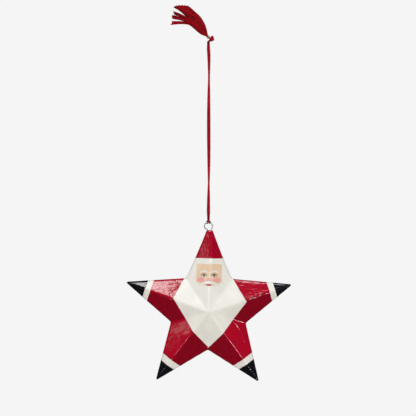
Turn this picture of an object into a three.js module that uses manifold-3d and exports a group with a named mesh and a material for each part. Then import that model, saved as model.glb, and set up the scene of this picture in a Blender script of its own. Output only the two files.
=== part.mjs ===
// Painted wooden star ornament on a twisted cotton cord with a tassel.
//
// Millimetres, +Z up. The ornament hangs upright and its painted front faces -Y. The origin
// is the point just under the stopper knot where a hook goes between the two cord legs.
//
// The star is glued up from five kite-shaped points, mitred against each other along the
// valleys. A wire bent into a ring stands in two holes in the blunt top point. The cord is
// tied to that ring with a lark's head, and its two legs twist round each other up to a
// knot, beside which a thread binding holds a tassel of cut yarns.

import * as THREE from 'three';
import { ConvexGeometry } from 'three/addons/geometries/ConvexGeometry.js';
import { mergeVertices } from 'three/addons/utils/BufferGeometryUtils.js';
import Module from 'manifold-3d';

const wasm = await Module();
wasm.setup();

// Star

const tip_radius = 57.5; // centre to the tip of each hand and foot
const inner_corner_radius = 26.1; // centre to the corners between the points
const half_depth = 14; // centre to the peak of the front, and of the back
const rim_thickness = 3; // the flat edge round the outline
const hat_height = 53.2; // centre to the blunt end of the top point
const hat_end_width = 4; // width of that blunt end
const glue_gap = 0.3; // between two mitre faces

// Wire hanger

const wire_diameter = 0.75;
const ring_radius = 2.7; // centre of the ring to the middle of the wire
const ring_lift = 2.6; // blunt end of the hat to the ring's centre
const ring_offset = 0.88; // the ring stands this far left of the hat's middle
const wire_leg_depth = 8.5; // how far the legs go into the hat
const wire_leg_spacing = 2.4;
const wire_leg_shift = -0.05; // middle of the two legs, from the hat's middle
const ring_left_end = 105; // degrees from the top at which the wire leaves the ring
const ring_right_end = 115;
const wire_hole_clearance = 0.15; // all round the wire, and under its ends

// Cord and hitch

const cord_diameter = 0.9;
const hitch_cord_diameter = 0.75; // the same cord, pulled tight
const leg_gap = 0.2; // between the two legs, all the way up
const leg_spacing = cord_diameter + leg_gap; // between their middles
const twist_turns = 1;
const twist_ease = 0.33; // radians by which the twist runs ahead near both ends
const hitch_clearance = 0.28; // between the wire and the cord wound round it
const wrap_step = 0.6; // from a tail of the hitch out to the wrap beside it
const wrap_offset = leg_spacing / 2 + wrap_step; // the wraps, each side of the ring's top
const bar_forward = 1.6; // the hitch's front bar, ahead of the wire
const bar_rise = 1.15; // and above the wire
const hitch_tail_rise = 1.9; // the tails end this far above the wire
const swing_gap = 0.7; // between the hitch's tails and the legs, for the fore and aft swing
const knot_gap = 0.3; // between the legs and the knot

// The middle line of the two legs, from the hitch up to the knot, as [x, z].
const cord_route = [
  [0, -117.25],
  [0, -113],
  [0.05, -106],
  [0.15, -98],
  [0.25, -89],
  [0.28, -80],
  [0.25, -71],
  [0.2, -62],
  [0.18, -53],
  [0.2, -44],
  [0.26, -35],
  [0.34, -26],
  [0.4, -17],
  [0.3, -9],
  [0.02, -4],
  [0, -knot_gap],
];

// Knot, binding and tassel

const knot_centre = new THREE.Vector3(2.4, 0, 2.1);
const knot_lobe_radius = 1.15; // centre of the knot to the middle of its cord at the lobes
const knot_cord_diameter = 1.15; // the doubled cord, pulled tight
const knot_stretch = 1.2; // the knot is this much taller than wide
const knot_half_depth = 0.5; // how far its cord weaves forwards and back
const neck_centre = new THREE.Vector3(-0.05, 0, 3.2); // middle of the binding
const neck_angle = 135; // degrees from +X towards +Z, the way the tassel leaves
const neck_radius = 0.5;
const binding_clearance = 0.2;
const binding_wall = 0.35;
const binding_length = 1.4;
const tassel_strands = 17;
const strand_neck_radius = 0.3;
const strand_belly_radius = 1.1;
const strand_end_radius = 0.5;
const tassel_half_depth = 2.7; // how far the outer strands stand forwards and back
const tassel_end_bulge = 4; // the middle strands reach this much past the outer ones

// The top and bottom edges of the tassel, from the binding's middle, as [x, z].
const tassel_top_edge = [[-0.5, 0.5], [-1.9, 6], [-4.6, 10.9], [-8.6, 15.3], [-12.2, 18.6], [-15.3, 20.6]];
const tassel_bottom_edge = [[-0.5, 0.5], [-5.3, 2.7], [-9.9, 6.5], [-13.4, 9], [-17, 9.9], [-25, 9.1]];
// The locks that the strands part into at their ends. Each takes the strands up to one
// share of the tassel's height, and gathers them between two other shares.
const tassel_locks = [
  { up_to: 0.17, from: 0, to: 0.06 },
  { up_to: 0.45, from: 0.3, to: 0.5 },
  { up_to: 1, from: 0.64, to: 1 },
];

// Helpers

const radians = THREE.MathUtils.degToRad;

function only_positions(geometry) {
  const plain = geometry.clone();
  plain.deleteAttribute('normal');
  plain.deleteAttribute('uv');
  return mergeVertices(plain, 1e-4);
}

function to_solid(geometry) {
  const merged = only_positions(geometry);
  return new wasm.Manifold(new wasm.Mesh({
    numProp: 3,
    vertProperties: new Float32Array(merged.attributes.position.array),
    triVerts: new Uint32Array(merged.index.array),
  }));
}

function to_geometry(solid) {
  const mesh = solid.getMesh();
  const geometry = new THREE.BufferGeometry();
  geometry.setAttribute('position', new THREE.BufferAttribute(mesh.vertProperties, 3));
  geometry.setIndex(new THREE.BufferAttribute(mesh.triVerts, 1));
  geometry.computeVertexNormals();
  return geometry;
}

// Joins geometries into one solid, and fills any pocket that they close round.
function join(geometries) {
  const whole = geometries.map(to_solid).reduce((joined, next) => joined.add(next));
  const shells = whole.decompose().filter((shell) => shell.volume() > 0);
  return to_geometry(shells.reduce((joined, next) => joined.add(next)));
}

function cut(geometry, cutter) {
  return to_geometry(to_solid(geometry).subtract(to_solid(cutter)));
}

// A closed round tube of one diameter along a curve.
function tube(curve, diameter, sides, steps) {
  const corners = Array.from({ length: sides }, (_, i) => {
    const angle = (2 * Math.PI * i) / sides;
    return new THREE.Vector2(Math.cos(angle), Math.sin(angle)).multiplyScalar(diameter / 2);
  });
  const section = new THREE.Shape(corners);
  return new THREE.ExtrudeGeometry(section, { steps, extrudePath: curve, bevelEnabled: false });
}

// A closed tube whose radius changes along the curve.
function tapered_tube(curve, radius_at, sides, steps) {
  const frames = curve.computeFrenetFrames(steps, false);
  const positions = [];
  for (let step = 0; step <= steps; step += 1) {
    const middle = curve.getPointAt(step / steps);
    for (let side = 0; side < sides; side += 1) {
      const angle = (2 * Math.PI * side) / sides;
      const radius = radius_at(step / steps);
      const corner = middle.clone()
        .addScaledVector(frames.normals[step], radius * Math.cos(angle))
        .addScaledVector(frames.binormals[step], radius * Math.sin(angle));
      positions.push(corner.x, corner.y, corner.z);
    }
  }
  const indices = [];
  for (let step = 0; step < steps; step += 1) {
    for (let side = 0; side < sides; side += 1) {
      const near = step * sides + side;
      const near_next = step * sides + ((side + 1) % sides);
      const far = near + sides;
      const far_next = near_next + sides;
      indices.push(near, near_next, far, near_next, far_next, far);
    }
  }
  const last_ring = steps * sides;
  for (let side = 1; side < sides - 1; side += 1) {
    indices.push(0, side + 1, side);
    indices.push(last_ring, last_ring + side, last_ring + side + 1);
  }
  const geometry = new THREE.BufferGeometry();
  geometry.setAttribute('position', new THREE.Float32BufferAttribute(positions, 3));
  geometry.setIndex(indices);
  geometry.computeVertexNormals();
  return geometry;
}

function smooth_curve(points) {
  return new THREE.CatmullRomCurve3(points, false, 'centripetal');
}

function named_mesh(name, geometry, material) {
  const mesh = new THREE.Mesh(geometry, material);
  mesh.name = name;
  return mesh;
}

// Materials

const red_paint = () => new THREE.MeshStandardMaterial({ color: 0xab0a26, roughness: 0.18, metalness: 0 });
const ivory_paint = () => new THREE.MeshStandardMaterial({ color: 0xecebe2, roughness: 0.25, metalness: 0 });
const steel = () => new THREE.MeshStandardMaterial({ color: 0x9a9a98, roughness: 0.35, metalness: 1 });
const red_cotton = () => new THREE.MeshStandardMaterial({ color: 0x8c0a1e, roughness: 0.85, metalness: 0 });
const gold_thread = () => new THREE.MeshStandardMaterial({ color: 0x9c7a3c, roughness: 0.5, metalness: 0.3 });

// Star points

// One kite-shaped point, standing up along +Z from the star's centre, its ridges towards
// -Y and +Y. A blunt end, where it is given, cuts the tip square at that height.
function star_point(blunt) {
  const half_angle = radians(36);
  const rim = rim_thickness / 2;
  const set_back = glue_gap / 2;
  const corner = new THREE.Vector2(Math.sin(half_angle), Math.cos(half_angle)).multiplyScalar(inner_corner_radius);
  const end = blunt
    ? new THREE.Vector2(blunt.width / 2, blunt.height)
    : new THREE.Vector2(0, tip_radius);
  const ridge_at = (z) => rim + (half_depth - rim) * (1 - z / tip_radius);

  // The mitre face is parallel to the line from the centre to the corner, set back from it.
  const root = set_back / Math.sin(half_angle);
  const slope = (end.x - corner.x) / (end.y - corner.y);
  const outline_at = (z) => corner.x + slope * (z - corner.y);
  const corner_z = (corner.x - slope * corner.y + root * Math.tan(half_angle))
    / (Math.tan(half_angle) - slope);
  const corner_x = outline_at(corner_z);

  // Outline seen from the front, anticlockwise, with the depth of each corner.
  const outline = [
    { x: 0, z: root, y: ridge_at(root) },
    { x: corner_x, z: corner_z, y: rim },
    ...(blunt
      ? [{ x: end.x, z: end.y, y: rim }, { x: 0, z: end.y, y: ridge_at(end.y) }, { x: -end.x, z: end.y, y: rim }]
      : [{ x: 0, z: tip_radius, y: rim }]),
    { x: -corner_x, z: corner_z, y: rim },
  ];
  const count = outline.length;
  const positions = [-1, 1].flatMap((side) => outline.flatMap((p) => [p.x, side * p.y, p.z]));

  // The ridge parts each face in two halves. Each half is a fan from its outer corner.
  const halves = blunt ? [[1, 2, 3, 0], [5, 0, 3, 4]] : [[1, 2, 0], [3, 0, 2]];
  const indices = [];
  for (const half of halves) {
    for (let i = 1; i < half.length - 1; i += 1) {
      indices.push(half[0], half[i], half[i + 1]);
      indices.push(half[0] + count, half[i + 1] + count, half[i] + count);
    }
  }
  for (let i = 0; i < count; i += 1) {
    const next = (i + 1) % count;
    indices.push(i, i + count, next, next, i + count, next + count);
  }
  const geometry = new THREE.BufferGeometry();
  geometry.setAttribute('position', new THREE.Float32BufferAttribute(positions, 3));
  geometry.setIndex(indices);
  geometry.computeVertexNormals();
  return geometry;
}

// Wire hanger

const ring_centre = new THREE.Vector3(-ring_offset, 0, hat_height + ring_lift);

// A point on the ring, at an angle from its top, positive to the right.
function on_ring(degrees, radius = ring_radius) {
  const angle = radians(degrees);
  return new THREE.Vector3(Math.sin(angle), 0, Math.cos(angle)).multiplyScalar(radius).add(ring_centre);
}

// The wire's middle line: up out of the left hole, slanting out to the ring, round it, and
// straight down into the right hole.
function wire_curve(leg_depth) {
  const left = wire_leg_shift - wire_leg_spacing / 2;
  const right = wire_leg_shift + wire_leg_spacing / 2;
  const left_end = on_ring(-ring_left_end);
  const right_end = on_ring(ring_right_end);
  const foot = hat_height - leg_depth;
  const mouth_left = new THREE.Vector3(left - wire_diameter / 3, 0, hat_height);
  const arc_steps = 14;
  const points = [
    new THREE.Vector3(left, 0, foot),
    new THREE.Vector3(left, 0, (foot + hat_height) / 2),
    new THREE.Vector3(left, 0, hat_height - 2 * wire_diameter),
    mouth_left,
    mouth_left.clone().lerp(left_end, 0.5),
  ];
  for (let i = 0; i <= arc_steps; i += 1) {
    points.push(on_ring(THREE.MathUtils.lerp(-ring_left_end, ring_right_end, i / arc_steps)));
  }
  points.push(
    new THREE.Vector3(right, 0, THREE.MathUtils.lerp(hat_height, right_end.z, 0.25)),
    new THREE.Vector3(right, 0, hat_height - 2 * wire_diameter),
    new THREE.Vector3(right, 0, (foot + hat_height) / 2),
    new THREE.Vector3(right, 0, foot),
  );
  return smooth_curve(points);
}

function wire_hanger_geometry() {
  return tube(wire_curve(wire_leg_depth), wire_diameter, 8, 52);
}

function head_point_geometry() {
  const point = star_point({ width: hat_end_width, height: hat_height });
  const hole_diameter = wire_diameter + 2 * wire_hole_clearance;
  return cut(point, tube(wire_curve(wire_leg_depth + wire_hole_clearance), hole_diameter, 8, 52));
}

// Lark's head on the ring

// The hitch is laid out round the wire: degrees along the ring from its top, then how far
// out from the wire's middle and how far forwards.
function by_the_wire(along_x, out, forward) {
  const angle = Math.asin(along_x / ring_radius);
  const reach = ring_radius + out;
  return new THREE.Vector3(reach * Math.sin(angle), -forward, reach * Math.cos(angle));
}

function hitch_curve() {
  const wrap_radius = wire_diameter / 2 + hitch_clearance + hitch_cord_diameter / 2;
  const tail_x = leg_spacing / 2;
  const top = ring_radius;
  const half = [
    new THREE.Vector3(tail_x, 0, top + hitch_tail_rise),
    new THREE.Vector3(tail_x, -0.06 * wrap_radius, top + 0.8 * hitch_tail_rise),
  ];
  // Down in front of the wire, under it, up behind and over the top.
  const wrap_steps = 10;
  for (let i = 0; i <= wrap_steps; i += 1) {
    const share = i / wrap_steps;
    const turn = radians(THREE.MathUtils.lerp(75, 350, share));
    const x = THREE.MathUtils.lerp(tail_x, wrap_offset, THREE.MathUtils.smoothstep(share, 0.05, 0.75));
    half.push(by_the_wire(x, wrap_radius * Math.cos(turn), wrap_radius * Math.sin(turn)));
  }
  // Forwards to the bar that crosses in front of both tails.
  const bar_z = top + bar_rise;
  half.push(
    new THREE.Vector3(0.95 * wrap_offset, -0.5 * bar_forward, bar_z),
    new THREE.Vector3(0.62 * wrap_offset, -0.93 * bar_forward, bar_z),
    new THREE.Vector3(0, -bar_forward, bar_z),
  );
  const mirrored = half.slice(0, -1).reverse().map((p) => new THREE.Vector3(-p.x, p.y, p.z));
  return smooth_curve([...half, ...mirrored]);
}

function ring_hitch_geometry() {
  return tube(hitch_curve(), hitch_cord_diameter, 8, 60);
}

// Cord legs

function leg_curve(side) {
  const points = cord_route.map(([x, z]) => {
    const height = (z - cord_route[0][1]) / (cord_route.at(-1)[1] - cord_route[0][1]);
    const turn = 2 * Math.PI * twist_turns * height + twist_ease * Math.sin(2 * Math.PI * height);
    const reach = (side * leg_spacing) / 2;
    return new THREE.Vector3(x + reach * Math.cos(turn), reach * Math.sin(turn), z);
  });
  return smooth_curve(points);
}

// Stopper knot

// A lump of cord laid through a row of points, with no care for where it runs into itself.
function cord_lump(points, diameter) {
  const ball = new THREE.IcosahedronGeometry(diameter / 2, 1).getAttribute('position');
  const corners = Array.from({ length: ball.count }, (_, i) => new THREE.Vector3().fromBufferAttribute(ball, i));
  const around = (point) => corners.map((corner) => corner.clone().add(point));
  return points.slice(1).map((point, i) => new ConvexGeometry([...around(points[i]), ...around(point)]));
}

// A trefoil, which is an overhand knot with its ends joined.
function trefoil(turn) {
  return new THREE.Vector3(
    (Math.sin(turn) + 2 * Math.sin(2 * turn)) * (knot_lobe_radius / 3),
    knot_half_depth * Math.sin(3 * turn),
    (2 * Math.cos(2 * turn) - Math.cos(turn)) * (knot_lobe_radius / 3) * knot_stretch,
  ).add(knot_centre);
}

function stopper_knot_geometry() {
  const pieces = 18;
  const loop = Array.from({ length: pieces + 1 }, (_, i) => trefoil((2 * Math.PI * i) / pieces));
  const low_left_lobe = trefoil((5 * Math.PI) / 3);
  // The two legs run up into the knot's lower left lobe, and their ends are cut level.
  const level = new THREE.BoxGeometry(20, 20, 20).translate(0, 0, -10);
  const legs = [-1, 1].flatMap((side) => {
    const foot = new THREE.Vector3((side * leg_spacing) / 2, 0, -0.1);
    const bend = foot.clone().lerp(low_left_lobe, 0.45).setZ(0.35 * low_left_lobe.z);
    return cord_lump([foot, bend, low_left_lobe], cord_diameter);
  });
  return cut(join([...cord_lump(loop, knot_cord_diameter), ...legs]), level);
}

// Binding and tassel

const neck_direction = new THREE.Vector3(Math.cos(radians(neck_angle)), 0, Math.sin(radians(neck_angle)));
const tassel_end_direction = new THREE.Vector3(-0.77, 0, 0.64);

function tassel_binding_geometry() {
  const inner = neck_radius + binding_clearance;
  const outer = inner + binding_wall;
  const end = binding_length / 2;
  const profile = [
    [inner, -end],
    [inner + binding_wall / 2, -end],
    [outer, -end / 2.5],
    [outer, end / 2.5],
    [inner + binding_wall / 2, end],
    [inner, end],
    [inner, -end],
  ].map(([x, y]) => new THREE.Vector2(x, y));
  const upright = new THREE.LatheGeometry(profile, 16);
  const to_neck = new THREE.Quaternion().setFromUnitVectors(new THREE.Vector3(0, 1, 0), neck_direction);
  return upright.applyQuaternion(to_neck).translate(...neck_centre.toArray());
}

function edge_curve(edge) {
  return smooth_curve(edge.map(([x, z]) => new THREE.Vector3(x, 0, z).add(neck_centre)));
}

// One strand of the tassel. It starts at its place in a round bundle, and moves into its
// lock on the way to its end.
function strand_curve(index, top, bottom) {
  const golden_angle = Math.PI * (3 - Math.sqrt(5));
  const reach = Math.sqrt((index + 0.5) / tassel_strands);
  const bundled = 0.5 + 0.5 * reach * Math.cos(index * golden_angle);
  const depth = tassel_half_depth * reach * Math.sin(index * golden_angle);
  const lock = tassel_locks.find(({ up_to }) => bundled <= up_to);
  const below = tassel_locks[tassel_locks.indexOf(lock) - 1]?.up_to ?? 0;
  const gathered = THREE.MathUtils.mapLinear(bundled, below, lock.up_to, lock.from, lock.to);
  const steps = 8;
  const points = [neck_centre.clone().addScaledVector(neck_direction, 0.2 * binding_length)];
  for (let i = 0; i <= steps; i += 1) {
    const along = i / steps;
    const across = THREE.MathUtils.lerp(bundled, gathered, THREE.MathUtils.smoothstep(along, 0.35, 0.95));
    const point = bottom.getPointAt(along).lerp(top.getPointAt(along), across);
    const bulge = tassel_end_bulge * 4 * across * (1 - across) * along * along;
    point.addScaledVector(tassel_end_direction, bulge);
    point.y = depth * Math.sin(Math.PI * Math.min(1, 0.85 * along));
    points.push(point);
  }
  return smooth_curve(points);
}

function tassel_yarns_geometry() {
  const top = edge_curve(tassel_top_edge);
  const bottom = edge_curve(tassel_bottom_edge);
  const root = tube(
    new THREE.LineCurve3(
      neck_centre.clone().addScaledVector(neck_direction, -0.4 * binding_length),
      neck_centre.clone().addScaledVector(neck_direction, 0.75 * binding_length),
    ),
    2 * neck_radius,
    10,
    1,
  );
  const radius_at = (share) => {
    const belly = THREE.MathUtils.smoothstep(share, 0.05, 0.45);
    const end = THREE.MathUtils.smoothstep(share, 0.6, 1);
    const grown = THREE.MathUtils.lerp(strand_neck_radius, strand_belly_radius, belly);
    return THREE.MathUtils.lerp(grown, strand_end_radius, end);
  };
  const strands = Array.from({ length: tassel_strands }, (_, i) => (
    tapered_tube(strand_curve(i, top, bottom), radius_at, 6, 10)
  ));
  return join([root, ...strands]);
}

// Assembly

const swing_pivot = cord_route[0][1] - swing_gap / 2;
const ring_height = swing_pivot - swing_gap / 2 - hitch_tail_rise - ring_radius;

const ornament = new THREE.Group();

// The star hangs with its centre under the ring, so the ring's offset tilts it a little.
const star = new THREE.Group();
const hang_length = Math.hypot(ring_centre.x, ring_centre.z);
star.position.set(0, 0, ring_height - hang_length);
star.rotation.y = Math.atan2(ring_offset, ring_centre.z);
star.add(named_mesh('star_head_point', head_point_geometry(), red_paint()));
star.add(named_mesh('wire_hanger', wire_hanger_geometry(), steel()));
const turned_points = [
  ['star_left_arm_point', -72],
  ['star_right_arm_point', 72],
  ['star_left_leg_point', -144],
  ['star_right_leg_point', 144],
];
for (const [name, degrees] of turned_points) {
  const point = named_mesh(name, star_point(null), red_paint());
  point.rotation.y = radians(degrees);
  star.add(point);
}
ornament.add(star);

const hitch = named_mesh('ring_hitch', ring_hitch_geometry(), red_cotton());
hitch.position.z = ring_height;
ornament.add(hitch);

for (const [name, side] of [['cord_leg_left', -1], ['cord_leg_right', 1]]) {
  ornament.add(named_mesh(name, tube(leg_curve(side), cord_diameter, 8, 38), red_cotton()));
}

ornament.add(named_mesh('stopper_knot', stopper_knot_geometry(), red_cotton()));
ornament.add(named_mesh('tassel_binding', tassel_binding_geometry(), gold_thread()));
ornament.add(named_mesh('tassel_yarns', tassel_yarns_geometry(), red_cotton()));

export default ornament;
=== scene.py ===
# %% [markdown]
# # A painted wooden star on a twisted cord
#
# The real ornament is a faceted five-pointed star, painted and lacquered as a bearded winter
# figure. It hangs by a small wire ring from a red cotton cord with a tassel.
#
# The construction is loaded as a fixed frame: every wooden point, wire and stretch of cord is
# in it at its true size, and the joints between them. This lesson dresses that frame. It
# models the soft edges, the yarns and the paint, and leaves every size where the frame has it.

# %% Load the frame
import math

import bmesh
import bpy
import numpy as np
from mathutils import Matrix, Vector, noise


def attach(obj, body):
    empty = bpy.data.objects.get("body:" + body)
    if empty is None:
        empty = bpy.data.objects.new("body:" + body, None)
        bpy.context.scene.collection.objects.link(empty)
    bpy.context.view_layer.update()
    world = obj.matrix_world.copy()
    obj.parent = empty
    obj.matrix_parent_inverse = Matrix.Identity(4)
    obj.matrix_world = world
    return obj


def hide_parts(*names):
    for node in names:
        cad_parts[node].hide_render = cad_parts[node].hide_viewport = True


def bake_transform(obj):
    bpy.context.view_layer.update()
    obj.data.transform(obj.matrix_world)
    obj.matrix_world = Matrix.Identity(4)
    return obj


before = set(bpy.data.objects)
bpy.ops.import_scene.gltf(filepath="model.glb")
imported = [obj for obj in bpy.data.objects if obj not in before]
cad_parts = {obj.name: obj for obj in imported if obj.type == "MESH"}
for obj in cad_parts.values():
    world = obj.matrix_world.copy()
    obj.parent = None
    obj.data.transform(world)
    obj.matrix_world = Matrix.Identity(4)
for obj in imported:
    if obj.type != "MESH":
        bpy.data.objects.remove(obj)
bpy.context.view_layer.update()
MM = 0.001  # sizes below are in millimetres, and Blender's are in metres
scene = bpy.context.scene

# %% [markdown]
# ## The camera
#
# The ornament is seen straight from the front. A long lens from far off keeps the five points
# alike, as a product picture does. A short lens close by would have swollen the middle.
# The width of the picture at the star sets the distance.

# %% Camera
picture_width = 276.6 * MM
picture_centre = Vector((-0.3, 0, -110.4)) * MM
lens, sensor = 100, 36
camera = bpy.data.objects.new("camera", bpy.data.cameras.new("camera"))
scene.collection.objects.link(camera)
camera.data.lens = lens
camera.data.sensor_width = sensor
camera.location = picture_centre + Vector((0, -picture_width * lens / sensor, 0))
camera.rotation_euler = (math.radians(90), 0, 0)
camera.data.clip_start = 0.05
scene.camera = camera
print("camera", round(-camera.location.y, 3), "m in front of the star")

# %% [markdown]
# ## Lines and tubes
#
# Wire, cord and yarn are all tubes along a line, so two helpers make them. The first draws a
# smooth line through a few points, the way a bent wire runs. The second sweeps a section
# along that line. A curve object could do both, but its section can't turn as it goes, and
# that turn is what makes a yarn look twisted. So the tubes are written as plain meshes.

# %% A smooth line through points
steps_between = 16  # from each given point to the next


def smooth_line(points, spacing):
    """A centripetal Catmull-Rom line through the points, with a point about every spacing."""
    p = np.array(points, float)
    p = np.vstack([2 * p[0] - p[1], p, 2 * p[-1] - p[-2]])
    line = [p[1]]
    for a, b, c, d in zip(p, p[1:], p[2:], p[3:]):
        t0, t1, t2 = (np.linalg.norm(y - x) ** 0.5 for x, y in ((a, b), (b, c), (c, d)))
        into = ((b - a) / t0 - (c - a) / (t0 + t1) + (c - b) / t1) * t1
        out = ((c - b) / t1 - (d - b) / (t1 + t2) + (d - c) / t2) * t1
        for s in np.linspace(0, 1, steps_between + 1)[1:]:
            line.append((2 * s**3 - 3 * s**2 + 1) * b + (s**3 - 2 * s**2 + s) * into
                        + (3 * s**2 - 2 * s**3) * c + (s**3 - s**2) * out)
    return even_line(line, spacing)


def travelled(line):
    """How far along a line each of its points lies."""
    return np.concatenate([[0], np.cumsum(np.linalg.norm(np.diff(line, axis=0), axis=1))])


def even_line(line, spacing):
    """The same line with its points an even spacing apart."""
    line = np.array(line, float)
    along = travelled(line)
    places = np.linspace(0, along[-1], max(2, round(along[-1] / spacing) + 1))
    return np.stack([np.interp(places, along, line[:, k]) for k in range(3)], 1)


def length_of(line):
    return float(np.linalg.norm(np.diff(line, axis=0), axis=1).sum())


# %% From one value to another
def between(share, low, high):
    """From low to high, as far as share says. It may be a number, a row or a painted value."""
    return share * (high - low) + low


def ease(share, low, high):
    """0 below low and 1 above high, with a smooth step between them."""
    s = np.clip((share - low) / (high - low), 0, 1)
    return s * s * (3 - 2 * s)


# %% The section of a strand
ply_press = 1.08  # how much fuller than a circle each ply is, pressed against its neighbours


def plies(count, sides_each):
    """The outline of a yarn of several plies: angles, and radii as a share of the yarn's."""
    angles = np.arange(count * sides_each) * 2 * math.pi / (count * sides_each)
    if count == 1:
        return angles, np.ones(len(angles))
    half_share = math.pi / count
    centre = 1 / (1 + math.sin(half_share))
    ply = ply_press * (1 - centre)
    off = (angles + half_share) % (2 * half_share) - half_share
    radii = centre * np.cos(off) + np.sqrt(np.maximum(ply**2 - (centre * np.sin(off)) ** 2, 0))
    return angles, radii / radii.max()


three_ply, two_ply, round_wire = plies(3, 5), plies(2, 4), plies(1, 20)


# %% A section swept along a line
def swept(line, radius, section, turns_per_mm=0.0, start_turn=0.0, starts_at=0.0):
    """A closed tube: its corners, its faces, and each corner's place along the strand.

    radius is one number or one for each point. A place is measured round the straightened
    middle line and along it, so that fibres can be drawn on it.
    """
    angles, shares = section
    line = np.array(line, float)
    count, sides = len(line), len(angles)
    radius = np.broadcast_to(radius, count)
    tangents = np.gradient(line, axis=0)
    tangents /= np.linalg.norm(tangents, axis=1)[:, None]
    side = np.cross(tangents[0], [0.31, 0.87, 0.38])  # any direction that no strand starts in
    step = length_of(line) / max(count - 1, 1)
    corners, places = [], []
    for i in range(count):
        side = side - tangents[i] * (side @ tangents[i])
        side /= np.linalg.norm(side)
        other = np.cross(tangents[i], side)
        turn = angles + start_turn + 2 * math.pi * turns_per_mm * step * i
        round_it = (radius[i] * shares)[:, None] * np.stack([np.cos(turn), np.sin(turn)], 1)
        corners.append(line[i] + round_it[:, :1] * side + round_it[:, 1:] * other)
        places.append(np.column_stack([round_it, np.full(sides, starts_at + step * i)]))
    faces = []
    for ring in range(0, (count - 1) * sides, sides):
        for k in range(sides):
            after = (k + 1) % sides
            faces.append((ring + k, ring + after, ring + sides + after, ring + sides + k))
    faces.append(tuple(range(sides - 1, -1, -1)))
    faces.append(tuple((count - 1) * sides + k for k in range(sides)))
    return np.concatenate(corners), faces, np.concatenate(places)


# %% Parts made into one piece
cut_end_angle = 70  # degrees: the rim of a strand's cut end stays sharp


def smooth_but(mesh, rim_angle):
    """Smooth shading, but for edges that turn by more than that many degrees."""
    mesh.shade_smooth()
    mesh.set_sharp_from_angle(angle=math.radians(rim_angle))


def mesh_piece(name, parts):
    """One object from (corners in mm, faces, places) parts, smooth but for its sharp rims."""
    corners, faces, start = [], [], 0
    for part_corners, part_faces, _ in parts:
        corners.append(part_corners)
        faces += [tuple(start + v for v in face) for face in part_faces]
        start += len(part_corners)
    mesh = bpy.data.meshes.new(name)
    mesh.from_pydata((np.concatenate(corners) * MM).tolist(), [], faces)
    if parts[0][2] is not None:
        place = mesh.attributes.new("strand_place", "FLOAT_VECTOR", "POINT")
        place.data.foreach_set("vector", np.concatenate([places for _, _, places in parts]).ravel())
    smooth_but(mesh, cut_end_angle)
    piece = bpy.data.objects.new(name, mesh)
    scene.collection.objects.link(piece)
    print(name, "faces:", len(mesh.polygons))
    return piece


# %% [markdown]
# ## The cord
#
# The cord is a closed loop of three-ply cotton. Its two legs twist round each other from the
# hitch up to the knot. They hang taut under the star's weight, so their route is nearly
# straight. The route's points are the ones that the frame was built on.
#
# Each leg bends between the knot, which stays, and the hitch, which turns with the star. The
# twist spreads along the whole leg.

# %% Route of the two legs
cord_diameter, cord_end_diameter = 1.4, 1.04
leg_spacing, leg_end_spacing = 1.14, 0.85
knot_gap = 0.3
cord_route = [
    (0, -117.25), (0, -113), (0.05, -106), (0.15, -98), (0.25, -89), (0.28, -80),
    (0.25, -71), (0.2, -62), (0.18, -53), (0.2, -44), (0.26, -35), (0.34, -26),
    (0.4, -17), (0.3, -9), (0.02, -4), (0, -knot_gap),
]
twist_turns, twist_ease = 1, 0.33
ply_turns, tight_ply_turns = 0.3, 0.35  # in a millimetre of cord: hanging, and tied
gathered_below, spread_above, full_above = 0.5, 6, 5  # from either end of the legs


def leg_line(side):
    """One leg's middle line, up from the hitch. The ends are drawn closer together."""
    low, high = cord_route[0][1], cord_route[-1][1]
    points = []
    for x, z in cord_route:
        height = (z - low) / (high - low)
        turn = 2 * math.pi * twist_turns * height + twist_ease * math.sin(2 * math.pi * height)
        slack = ease(min(z - low, high - z), gathered_below, spread_above)
        reach = side * between(slack, leg_end_spacing, leg_spacing) / 2
        points.append((x + reach * math.cos(turn), reach * math.sin(turn), z))
    return smooth_line(points, 0.28)


def leg_radius(line):
    """The cord's radius along a leg, drawn tight near the hitch and the knot."""
    from_end = np.minimum(line[:, 2] - line[0, 2], line[-1, 2] - line[:, 2])
    return between(ease(from_end, gathered_below, full_above), cord_end_diameter, cord_diameter) / 2


# %% Legs
legs = {}
leg_lines = {}
for name, side in (("cord_leg_left", -1), ("cord_leg_right", 1)):
    line = leg_lines[name] = leg_line(side)
    leg = mesh_piece(name.replace("cord_leg", "twisted_cord"),
                     [swept(line, leg_radius(line), three_ply, ply_turns, start_turn=side)])
    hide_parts(name)
    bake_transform(leg)
    legs[name] = leg
    print(name, "length in mm:", round(length_of(line), 1))

# %% [markdown]
# ## The hitch on the ring
#
# A lark's head ties the loop to the wire ring: the loop goes under the wire, up behind it,
# over the top and across in front of its own two tails. Drawing half of it and mirroring the
# other half keeps it even. The tails run a little way up beside the legs.

# %% Hitch
ring_height = -122.55
ring_radius, wire_diameter = 2.7, 0.75
hitch_diameter, wrapped_diameter = 1.02, 0.72
bar_forward, bar_rise, bar_half_width, wrap_spread, hitch_tail_rise = 1.0, 0.72, 0.9, 1.25, 1.9
wrap_start, wrap_sweep, wrap_steps = 75, 275, 10  # degrees round the wire
wrap_radius = (wire_diameter + wrapped_diameter) / 2 + 0.03


def by_the_wire(x, out, forward):
    """A point beside the ring's wire: x from the middle, out from the wire and forwards."""
    angle = math.asin(x / ring_radius)
    reach = ring_radius + out
    return (reach * math.sin(angle), -forward, reach * math.cos(angle))


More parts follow.
